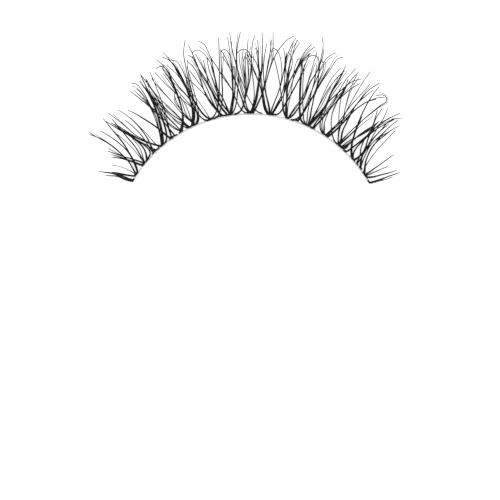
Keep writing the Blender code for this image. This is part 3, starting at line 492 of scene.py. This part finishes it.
         (86.6, 50), (87.2, 62), (90.2, 74.2)),
        (4, (82, 1), (83.4, 6), (84.7, 12), (85.6, 18.6), (86.3, 26), (87.2, 34.4), (88.8, 43), (91, 51),
         (93.2, 56), (95.2, 59.6)),
        (2, (82.6, 1.2), (84.2, 7), (85.4, 12.6), (86.4, 20), (87, 28), (87.8, 37), (89.4, 46),
         (91.6, 53), (94, 58.6), (96.4, 63.8), (98.8, 66)),
        (2, (81, 1), (81.8, 8), (83, 13.4), (84.3, 18.6), (85, 26), (85.6, 34), (86.2, 44), (87.9, 55),
         (89.6, 64.4)),
        (2, (80.6, 1.2), (81.2, 8), (82.2, 15), (82.7, 22), (82.9, 30), (83.2, 40), (84.4, 52), (85.7, 68)),
    ],
    [
        (3, (90.6, 1.1), (86.4, 3.4), (83, 6.6), (79.9, 10.4), (77, 15), (74.9, 19.8), (73.4, 25),
         (72.9, 31), (72.2, 38), (72.6, 47), (72.2, 54)),
        (2, (89.8, 1.4), (85.8, 4), (82.4, 7.2), (79.3, 11.2), (76.6, 15.8), (74.4, 20.8), (73, 26.6),
         (72.4, 34), (73.2, 43), (72.6, 55)),
    ],
    [
        (3, (95.4, 1.2), (93.4, 7.4), (91, 11.4), (89.4, 16.4), (88.6, 21), (87.2, 28), (86.4, 36)),
        (2, (96.2, 1.2), (94.2, 7), (91.8, 11.2), (90, 16), (89, 22), (87.7, 29), (86.8, 38)),
        (2, (94.6, 1.8), (92, 4.8), (89, 8.8), (86.8, 13), (85.3, 18.6), (84, 25), (82.8, 32), (81.7, 45),
         (80.9, 62), (81, 78)),
        (2, (94.2, 2), (91.2, 5.4), (88, 10.2), (85.6, 15.2), (82.2, 20), (79.2, 25.6), (76.4, 32),
         (73.8, 40), (71.2, 51)),
        (1, (93.8, 1.6), (91, 6), (88.2, 11.4), (86, 17.6), (84.2, 24), (81.8, 30.6), (79.4, 38.6),
         (77, 48), (75.2, 60), (74.8, 68)),
        (3, (94.8, 1), (95.1, 9), (95.6, 15), (96.2, 22), (96.9, 29), (98, 38.6), (99.4, 50),
         (100.6, 59.6), (102.1, 65), (100.2, 67.8), (98, 68.8), (95.6, 66), (93.4, 61.4)),
        (2, (95.6, 1.2), (96.5, 9), (97.4, 15), (97.8, 20), (98, 25), (97.4, 33)),
        (1, (96.4, 1.4), (97.2, 8), (98, 15), (98.6, 22), (99.2, 29), (100.2, 37), (101.6, 44.6)),
    ],
    [
        (4, (99.6, 1), (101.2, 5.4), (102.4, 11), (103, 17.6), (103.9, 23.4), (105.2, 31), (106.6, 38),
         (107.6, 45.6)),
        (4, (100.4, 1), (102, 6), (103, 12), (103.5, 18.6), (104.5, 25), (105.8, 32.6), (106.9, 37.6)),
        (3, (102.4, 1.4), (103, 4.6), (102.4, 9), (102.8, 15), (104.2, 22), (105.8, 29), (107, 35)),
        (2, (99, 2), (99.8, 7.6), (101.2, 13), (103.8, 19), (105.8, 26), (107.6, 34)),
    ],
    [
        (4, (105.4, 0.6), (106.4, 4), (107, 9.4), (107.8, 15), (108.3, 21), (108.8, 28), (108.8, 36),
         (110, 47), (112, 58.6), (113.7, 65.4)),
        (3, (105.8, 0.8), (106.9, 5), (107.6, 10.4), (108.4, 16.4), (109, 23), (109.6, 31), (110.8, 40),
         (112.4, 49), (114.2, 56.6)),
    ],
    [
        (4, (112.6, 1.2), (109, 4.4), (105.6, 8), (102.9, 12.2), (100.9, 16.8), (98.8, 22), (97, 27.4),
         (94.8, 36), (92.7, 47), (91.4, 60), (91.3, 71)),
        (3, (113, 1.4), (109.6, 4.8), (106.2, 8.6), (103.2, 13), (101, 18.2), (98.9, 23.6), (97, 30),
         (95.4, 37)),
        (3, (115.8, 0.9), (112.4, 4), (110.5, 8.6), (109.8, 14), (109.9, 20), (109.6, 27), (110.3, 35),
         (111.2, 43), (113.2, 52), (114, 58), (116.9, 63.6)),
        (3, (115, 1), (111.8, 4.4), (110, 9.2), (109.4, 15), (109.4, 21), (108.9, 28), (108.4, 34),
         (107.6, 41)),
        (4, (116.6, 0.9), (117.6, 5), (117.2, 10), (116.6, 15.6), (114.2, 19.4), (111.6, 24.8),
         (109.8, 30), (109.1, 38), (109.6, 47), (111.6, 57)),
        (3, (117.4, 1), (118, 6), (117.6, 11), (116.9, 17), (115.8, 22), (114.4, 29), (113.6, 37),
         (113.9, 50)),
    ],
    [
        (3, (120.8, 1), (118.6, 6.4), (116.2, 10), (113.6, 13), (111.4, 17.6), (109.2, 23.6), (108.3, 31),
         (107.6, 38), (107.5, 45)),
        (2, (122, 1), (120.2, 7), (118.4, 13), (117, 20), (116.4, 28), (117, 36), (118.2, 45)),
    ],
    [
        (4, (127.2, 1.3), (123.4, 4.4), (120.4, 7.8), (118, 11.4), (116.4, 16.6), (114.9, 23.4),
         (113.9, 31), (113.4, 41), (112.5, 50), (113.2, 57.6)),
        (4, (126.4, 1), (122.6, 4.8), (119.6, 8.4), (117.2, 12.6), (115.2, 18), (112, 24), (109.4, 29.6),
         (107.4, 35.4), (104.6, 42.6), (101, 52)),
        (3, (125.8, 1.2), (122, 5.6), (119.2, 9.6), (117, 14.6), (114.6, 19.6), (111.4, 25.8),
         (109, 31.6), (106.6, 38), (104.2, 46), (102.6, 57)),
        (3, (126.8, 1.6), (123.8, 6), (121.4, 10.2), (119.4, 15), (117.4, 20.4), (116.3, 28), (116.2, 37),
         (115.9, 48), (116.2, 59.6)),
        (3, (125.4, 1.4), (121.4, 6.6), (118.6, 11.4), (116.2, 18), (114, 25.6), (111.6, 34), (109.4, 44),
         (107.4, 54.4), (105.3, 60.4)),
        (4, (134, 1), (129.8, 4.8), (126.4, 7.6), (123.6, 11.8), (121.2, 16.6), (119.4, 22), (118, 29),
         (116.5, 38), (115.9, 47), (116, 57)),
        (4, (133.2, 0.8), (129, 5), (125.6, 8.4), (122.9, 12.8), (120.6, 17.6), (118.9, 23), (118, 31),
         (118.4, 40), (118.4, 47), (119.8, 56)),
        (2, (131.6, 1.6), (128.7, 6.4), (126.6, 12), (125, 17.6), (123.8, 23.6), (122.6, 31), (121.5, 42),
         (120.6, 50.4)),
        (4, (135.2, 0.8), (135.5, 6), (135.3, 12), (135.2, 18), (134.9, 26), (134.6, 35)),
        (2, (136.6, 1.4), (137.7, 7), (138.5, 12), (139.3, 18), (140, 24)),
        (4, (138.6, 0.8), (140.6, 4), (142.2, 8.6), (143.4, 13.4), (144.6, 18), (145.9, 24), (146.6, 30)),
        (3, (138.2, 0.8), (140, 3.8), (141.8, 8.2), (143, 12.8), (144.2, 17.6), (145.3, 22)),
    ],
    [
        (4, (144.8, 0.4), (145.8, 3.4), (146.7, 8), (147.3, 13), (147.7, 18), (148.5, 24), (149.6, 31.6)),
        (3, (144.2, 0.6), (145.2, 4), (146.2, 9), (147, 14), (147.6, 19)),
        (2, (145.4, 0.8), (146.8, 6), (148, 11.4), (149.4, 16.6), (150, 23)),
    ],
]


# Places along the strip.

def on_strip(station, outward, height):
    """A point from its distance along the band, its distance outside the middle line and its height."""
    angle = station / BAND_RADIUS
    radius = BAND_RADIUS + outward
    return Vector((radius * math.sin(angle), radius * math.cos(angle) - BAND_RADIUS, height))


def knot_seat():
    """How far outside the band's middle line the middle of a knot lies."""
    return BAND_WIDTH / 2 + SEAT_GAP + KNOT_DEPTH / 2


def solid_places(name):
    """Each corner of a solid as its distance along the band, its distance outside it and its height."""
    corners = np.array([corner.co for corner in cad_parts[name].data.vertices])
    across = corners[:, 1] + BAND_RADIUS
    station = np.arctan2(corners[:, 0], across) * BAND_RADIUS
    return np.stack([station, np.hypot(corners[:, 0], across) - BAND_RADIUS, corners[:, 2]], axis=1)


def knot_span(places):
    """Where a cluster's knot starts and ends along the band, from its inner side."""
    inner = places[places[:, 1] < knot_seat() - KNOT_DEPTH / 4, 0]
    return inner.min(), inner.max()


# Fibres, mates and bonds.

def smooth_line(spots, reach, aside):
    """A smooth line through a fibre's points, cut off at a share of its length and led aside to its tip."""
    spots = np.array(spots) * MARK
    spots[:, 1] += ROOT_SHIFT + (TIP_SHIFT - ROOT_SHIFT) * spots[:, 1] / spots[:, 1].max()
    runs = np.concatenate([[0.0], np.cumsum(np.hypot(*np.diff(spots, axis=0).T))])
    slopes = np.gradient(spots, runs, axis=0)
    wanted = np.linspace(0.0, runs[-1] * reach, FIBRE_STEPS)
    legs = np.clip(np.searchsorted(runs, wanted, side="right") - 1, 0, len(runs) - 2)
    spans = (runs[legs + 1] - runs[legs])[:, None]
    t = (wanted - runs[legs])[:, None] / spans
    line = (2 * t ** 3 - 3 * t ** 2 + 1) * spots[legs] + (3 * t ** 2 - 2 * t ** 3) * spots[legs + 1]
    line += spans * ((t ** 3 - 2 * t ** 2 + t) * slopes[legs] + (t ** 3 - t ** 2) * slopes[legs + 1])
    for _ in range(EASE_PASSES):
        line[1:-1] = (line[:-2] + 2 * line[1:-1] + line[2:]) / 4
    ahead = np.gradient(line, axis=0)
    ahead /= np.hypot(*ahead.T)[:, None]
    spread = aside * np.linspace(0.0, 1.0, FIBRE_STEPS)[:, None] ** MATE_POWER
    return line + np.stack([-ahead[:, 1], ahead[:, 0]], axis=1) * spread


def fibre_heights(line, places, chance):
    """The height along a fibre: its seat in the knot, its curl, and the lift that the solid has beside it."""
    outward = np.maximum.accumulate(line[:, 1])
    share = outward / outward[-1]
    curl = LASH_CURL * outward[-1] / LASH_REACH * share ** CURL_POWER
    aim = int(np.searchsorted(share, LIFT_SHARE))
    apart = np.hypot(*(places[:, :2] - line[aim]).T)
    beside = places[np.argsort(apart)[:LIFT_POINTS], 2].mean()
    lift = min(max(beside - ROOT_HEIGHT - curl[aim], 0.0), MOST_LIFT)
    run = np.clip((outward - knot_seat()) / TIER_RUN, 0.0, 1.0)
    ramp = run * run * (3 - 2 * run)
    return ROOT_HEIGHT + (lift + chance.uniform(-1, 1) * LIFT_JITTER) * ramp + curl


def fibre_points(row, places, chance, reach, aside):
    """The middle line of one fibre, from its tail in the knot to its tip."""
    line = smooth_line(row[1:], reach, aside)
    points = []
    for (station, outward), height in zip(line, fibre_heights(line, places, chance)):
        points.append(on_strip(station, outward, height))
    heading = math.copysign(1.0, row[2][0] - row[1][0])
    tail = line[0, 0] - heading * ROOT_TAIL * chance.uniform(*TAIL_RANGE)
    points.insert(0, on_strip(tail, line[0, 1] - KNOT_DEPTH * TAIL_INSET, ROOT_HEIGHT))
    return points


def ring_frames(points):
    """Two directions across a line at each of its points, carried along it without twist."""
    ahead = np.gradient(np.array(points), axis=0)
    ahead /= np.linalg.norm(ahead, axis=1)[:, None]
    across = np.cross(ahead[0], (0.0, 0.0, 1.0))
    rows = []
    for direction in ahead:
        across = across - direction * np.dot(across, direction)
        across /= np.linalg.norm(across)
        rows.append((across, np.cross(direction, across)))
    return rows


def add_tube(shell, uv, points, radii, shares):
    """A closed tube around a line, with U around it and its share of length along V."""
    rings = []
    for point, radius, (across, over) in zip(points, radii, ring_frames(points)):
        ring = []
        for number in range(FIBRE_SIDES):
            angle = 2 * math.pi * number / FIBRE_SIDES
            offset = across * math.cos(angle) + over * math.sin(angle)
            ring.append(shell.verts.new(point + Vector(offset) * radius))
        rings.append(ring)
    for step in range(len(rings) - 1):
        for number in range(FIBRE_SIDES):
            after = (number + 1) % FIBRE_SIDES
            near, far = rings[step], rings[step + 1]
            face = shell.faces.new((near[number], near[after], far[after], far[number]))
            face.smooth = True
            corners = ((number, step), (number + 1, step), (number + 1, step + 1), (number, step + 1))
            for loop, (turn, place) in zip(face.loops, corners):
                loop[uv].uv = (turn / FIBRE_SIDES, shares[place])
    for ring, place in ((rings[0][::-1], 0), (rings[-1], -1)):
        cap = shell.faces.new(ring)
        for loop in cap.loops:
            loop[uv].uv = (0.5, shares[place])


def add_fibre(shell, uv, row, places, chance, reach=1.0, aside=0.0):
    """One fibre, full over most of its length, widest at its root and finer at its tip."""
    points = fibre_points(row, places, chance, reach, aside)
    shares = np.linspace(0.0, 1.0, len(points))
    wide = (MATE_RADIUS if aside else FIBRE_RADII[row[0]]) * chance.uniform(*RADIUS_RANGE)
    radii = wide - (wide - min(wide, FIBRE_TIP_RADIUS)) * shares ** TAPER_POWER
    length = np.linalg.norm(np.diff(np.array(points), axis=0), axis=1).sum()
    radii *= 1 + ROOT_WIDEN * np.clip(1 - shares * length / ROOT_RUN, 0.0, 1.0)
    add_tube(shell, uv, points, radii, shares)


def add_mate(shell, uv, row, places, chance):
    """A finer fibre that lies along another and parts from it towards the tip."""
    aside = chance.choice((-1, 1)) * MATE_SPREAD * chance.uniform(*MATE_SPREAD_RANGE)
    add_fibre(shell, uv, row, places, chance, chance.uniform(*MATE_LENGTH_RANGE), aside)


def add_bond(shell, uv, places, chance):
    """The bond over a cluster's roots: a small uneven bead of set adhesive."""
    first, last = knot_span(places)
    made = bmesh.ops.create_uvsphere(shell, u_segments=BOND_SEGMENTS, v_segments=BOND_RINGS, radius=1.0)
    seed = Vector((chance.uniform(*BOND_LUMP_RANGE), chance.uniform(*BOND_LUMP_RANGE), 0))
    for vert in made["verts"]:
        shape = vert.co * (1 + BOND_LUMP * noise.noise(vert.co * BOND_LUMP_PITCH + seed))
        blunt = math.copysign(abs(shape.x) ** BOND_BLUNT, shape.x)
        along = (first + last) / 2 + blunt * (last - first) / 2
        outward = BOND_SEAT + shape.y * KNOT_DEPTH / 2 * BOND_FILL
        vert.co = on_strip(along, outward, KNOT_HEIGHT / 2 * (1 + shape.z * BOND_FILL))
    for face in {face for vert in made["verts"] for face in vert.link_faces}:
        face.smooth = True
        face.material_index = 1
        for loop in face.loops:
            loop[uv].uv = (loop.vert.co.x * BOND_UV_SCALE, loop.vert.co.y * BOND_UV_SCALE)


def mesh_object(name, shell, materials):
    """An object in the scene made from a finished shell, with its materials."""
    mesh = bpy.data.meshes.new(name)
    shell.to_mesh(mesh)
    shell.free()
    for material in materials:
        mesh.materials.append(material)
    item = bpy.data.objects.new(name, mesh)
    bpy.context.scene.collection.objects.link(item)
    return item


def make_cluster(number, rows, materials):
    """One cluster as a single piece: its fibres, their mates and the bond over their roots."""
    name = f"lash_cluster_{number:02d}"
    places = solid_places(name)
    chance = random.Random(FIRST_SEED + number)
    shell = bmesh.new()
    uv = shell.loops.layers.uv.new("along")
    for row in rows:
        add_fibre(shell, uv, row, places, chance)
    for row in rows:
        if row[-1][1] > MATE_REACH and chance.random() < MATE_CHANCE:
            add_mate(shell, uv, row, places, chance)
    add_bond(shell, uv, places, chance)
    item = mesh_object(name + "_fibres", shell, materials)
    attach(item, "root")
    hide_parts(name)


# The clear band.

def make_band(material):
    """A thin extruded strip with rounded edges, flat underneath, a little uneven along its length."""
    shell = bmesh.new()
    uv = shell.loops.layers.uv.new("along")
    rings = []
    for station in np.linspace(-BAND_LENGTH / 2, BAND_LENGTH / 2, BAND_STEPS + 1):
        uneven = 1 + BAND_UNEVEN * noise.noise(Vector((station * BAND_UNEVEN_PITCH, 0, 0)))
        end = min((BAND_LENGTH / 2 - abs(station)) / BAND_WIDTH, 1.0)
        slim = BAND_END + (1 - BAND_END) * math.sqrt(max(end, 0.0))
        ring = []
        for side in range(BAND_SIDES):
            angle = 2 * math.pi * side / BAND_SIDES
            across = math.copysign(abs(math.cos(angle)) ** BAND_EDGE_POWER, math.cos(angle))
            over = math.copysign(abs(math.sin(angle)) ** BAND_EDGE_POWER, math.sin(angle))
            outward = across * BAND_WIDTH / 2 * uneven * slim
            height = BAND_THICKNESS / 2 * (1 + over * (slim if over > 0 else 1.0))
            ring.append(shell.verts.new(on_strip(station, outward, height)))
        rings.append(ring)
    for step in range(BAND_STEPS):
        for side in range(BAND_SIDES):
            after = (side + 1) % BAND_SIDES
            near, far = rings[step], rings[step + 1]
            face = shell.faces.new((near[side], far[side], far[after], near[after]))
            face.smooth = True
            for loop in face.loops:
                loop[uv].uv = (side / BAND_SIDES, step / BAND_STEPS)
    shell.faces.new(rings[0])
    shell.faces.new(rings[-1][::-1])
    bmesh.ops.recalc_face_normals(shell, faces=shell.faces)
    item = mesh_object("band_strip", shell, [material])
    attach(item, "root")
    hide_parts("band")


# Materials.

def new_material(name):
    """A new material with its nodes and links."""
    material = bpy.data.materials.new(name)
    material.use_nodes = True
    return material, material.node_tree.nodes, material.node_tree.links


def fibre_material():
    """Black synthetic fibre: deep at the root, a little browner and duller at the tip, finely streaked."""
    material, nodes, links = new_material("lash_fibre")
    shader = nodes["Principled BSDF"]
    shader.inputs["Specular IOR Level"].default_value = 0.07
    place = nodes.new("ShaderNodeUVMap")
    place.uv_map = "along"
    split = nodes.new("ShaderNodeSeparateXYZ")
    links.new(place.outputs["UV"], split.inputs["Vector"])
    tone = nodes.new("ShaderNodeValToRGB")
    tone.color_ramp.elements[0].color = (0.004, 0.004, 0.004, 1)
    tone.color_ramp.elements[1].color = (0.014, 0.012, 0.011, 1)
    links.new(split.outputs["Y"], tone.inputs["Fac"])
    links.new(tone.outputs["Color"], shader.inputs["Base Color"])
    stretch = nodes.new("ShaderNodeMapping")
    stretch.inputs["Scale"].default_value = (14.0, 3.0, 1.0)
    streaks = nodes.new("ShaderNodeTexNoise")
    streaks.inputs["Scale"].default_value = 6.0
    streaks.inputs["Detail"].default_value = 3.0
    links.new(place.outputs["UV"], stretch.inputs["Vector"])
    links.new(stretch.outputs["Vector"], streaks.inputs["Vector"])
    sheen = nodes.new("ShaderNodeMapRange")
    sheen.inputs["To Min"].default_value = 0.34
    sheen.inputs["To Max"].default_value = 0.58
    links.new(streaks.outputs["Fac"], sheen.inputs["Value"])
    links.new(sheen.outputs["Result"], shader.inputs["Roughness"])
    bump = nodes.new("ShaderNodeBump")
    bump.inputs["Strength"].default_value = 0.25
    bump.inputs["Distance"].default_value = 0.000004
    links.new(streaks.outputs["Fac"], bump.inputs["Height"])
    links.new(bump.outputs["Normal"], shader.inputs["Normal"])
    return material


def bond_material():
    """Set black adhesive: glossier than the fibre, with a soft lumpy skin."""
    material, nodes, links = new_material("root_bond")
    shader = nodes["Principled BSDF"]
    shader.inputs["Specular IOR Level"].default_value = 0.12
    lumps = nodes.new("ShaderNodeTexNoise")
    lumps.inputs["Scale"].default_value = 9000.0
    lumps.inputs["Detail"].default_value = 2.0
    place = nodes.new("ShaderNodeTexCoord")
    links.new(place.outputs["Object"], lumps.inputs["Vector"])
    tone = nodes.new("ShaderNodeValToRGB")
    tone.color_ramp.elements[0].color = (0.004, 0.004, 0.004, 1)
    tone.color_ramp.elements[1].color = (0.014, 0.013, 0.013, 1)
    links.new(lumps.outputs["Fac"], tone.inputs["Fac"])
    links.new(tone.outputs["Color"], shader.inputs["Base Color"])
    shine = nodes.new("ShaderNodeMapRange")
    shine.inputs["To Min"].default_value = 0.22
    shine.inputs["To Max"].default_value = 0.45
    links.new(lumps.outputs["Fac"], shine.inputs["Value"])
    links.new(shine.outputs["Result"], shader.inputs["Roughness"])
    bump = nodes.new("ShaderNodeBump")
    bump.inputs["Strength"].default_value = 0.4
    bump.inputs["Distance"].default_value = 0.00001
    links.new(lumps.outputs["Fac"], bump.inputs["Height"])
    links.new(bump.outputs["Normal"], shader.inputs["Normal"])
    return material


def band_material():
    """Clear soft plastic with a faint milky variation and fine drawn lines along it."""
    material, nodes, links = new_material("clear_band")
    shader = nodes["Principled BSDF"]
    shader.inputs["Transmission Weight"].default_value = 0.85
    shader.inputs["IOR"].default_value = 1.42
    place = nodes.new("ShaderNodeUVMap")
    place.uv_map = "along"
    stretch = nodes.new("ShaderNodeMapping")
    stretch.inputs["Scale"].default_value = (6.0, 90.0, 1.0)
    milk = nodes.new("ShaderNodeTexNoise")
    milk.inputs["Scale"].default_value = 2.0
    milk.inputs["Detail"].default_value = 3.0
    links.new(place.outputs["UV"], stretch.inputs["Vector"])
    links.new(stretch.outputs["Vector"], milk.inputs["Vector"])
    tone = nodes.new("ShaderNodeValToRGB")
    tone.color_ramp.elements[0].color = (0.50, 0.51, 0.52, 1)
    tone.color_ramp.elements[1].color = (0.72, 0.725, 0.73, 1)
    links.new(milk.outputs["Fac"], tone.inputs["Fac"])
    links.new(tone.outputs["Color"], shader.inputs["Base Color"])
    gloss = nodes.new("ShaderNodeMapRange")
    gloss.inputs["To Min"].default_value = 0.12
    gloss.inputs["To Max"].default_value = 0.30
    links.new(milk.outputs["Fac"], gloss.inputs["Value"])
    links.new(gloss.outputs["Result"], shader.inputs["Roughness"])
    bump = nodes.new("ShaderNodeBump")
    bump.inputs["Strength"].default_value = 0.2
    bump.inputs["Distance"].default_value = 0.000006
    links.new(milk.outputs["Fac"], bump.inputs["Height"])
    links.new(bump.outputs["Normal"], shader.inputs["Normal"])
    return material


# Floor, light and camera.

def make_stage():
    """The plain white floor, with a little light of its own so that no shade dims it."""
    bpy.ops.mesh.primitive_plane_add(size=FLOOR_SIZE, location=(0, VIEW_MIDDLE[1], -FLOOR_DROP))
    floor = bpy.context.object
    floor.name = "floor"
    material, nodes, links = new_material("pale_floor")
    shader = nodes["Principled BSDF"]
    shader.inputs["Base Color"].default_value = (0.36, 0.36, 0.36, 1)
    shader.inputs["Emission Color"].default_value = (1.0, 1.0, 1.0, 1)
    shader.inputs["Emission Strength"].default_value = 0.70
    shader.inputs["Roughness"].default_value = 0.9
    shader.inputs["Specular IOR Level"].default_value = 0.1
    floor.data.materials.append(material)


def make_light():
    """A white studio with two large soft lamps."""
    world = bpy.data.worlds.new("studio")
    world.use_nodes = True
    background = world.node_tree.nodes["Background"]
    background.inputs["Color"].default_value = (1.0, 1.0, 1.0, 1)
    background.inputs["Strength"].default_value = 1.0
    bpy.context.scene.world = world
    bpy.context.scene.view_settings.view_transform = "Standard"
    for name, place, power, size in LAMPS:
        lamp = bpy.data.lights.new(name, "AREA")
        lamp.energy = power
        lamp.size = size
        holder = bpy.data.objects.new(name, lamp)
        holder.location = place
        holder.rotation_euler = (-Vector(place)).to_track_quat("-Z", "Y").to_euler()
        bpy.context.scene.collection.objects.link(holder)


def make_camera():
    """A camera that looks straight down."""
    lens = bpy.data.cameras.new("camera")
    lens.sensor_width = SENSOR
    lens.lens = SENSOR * CAMERA_HEIGHT / VIEW_WIDTH
    lens.clip_start = CLIP_START
    lens.clip_end = CLIP_END
    camera = bpy.data.objects.new("camera", lens)
    camera.location = (*VIEW_MIDDLE, CAMERA_HEIGHT)
    bpy.context.scene.collection.objects.link(camera)
    bpy.context.scene.camera = camera


def build():
    """The whole scene."""
    make_camera()
    make_light()
    make_stage()
    make_band(band_material())
    materials = [fibre_material(), bond_material()]
    for number, rows in enumerate(HAIRS, start=1):
        make_cluster(number, rows, materials)


build()
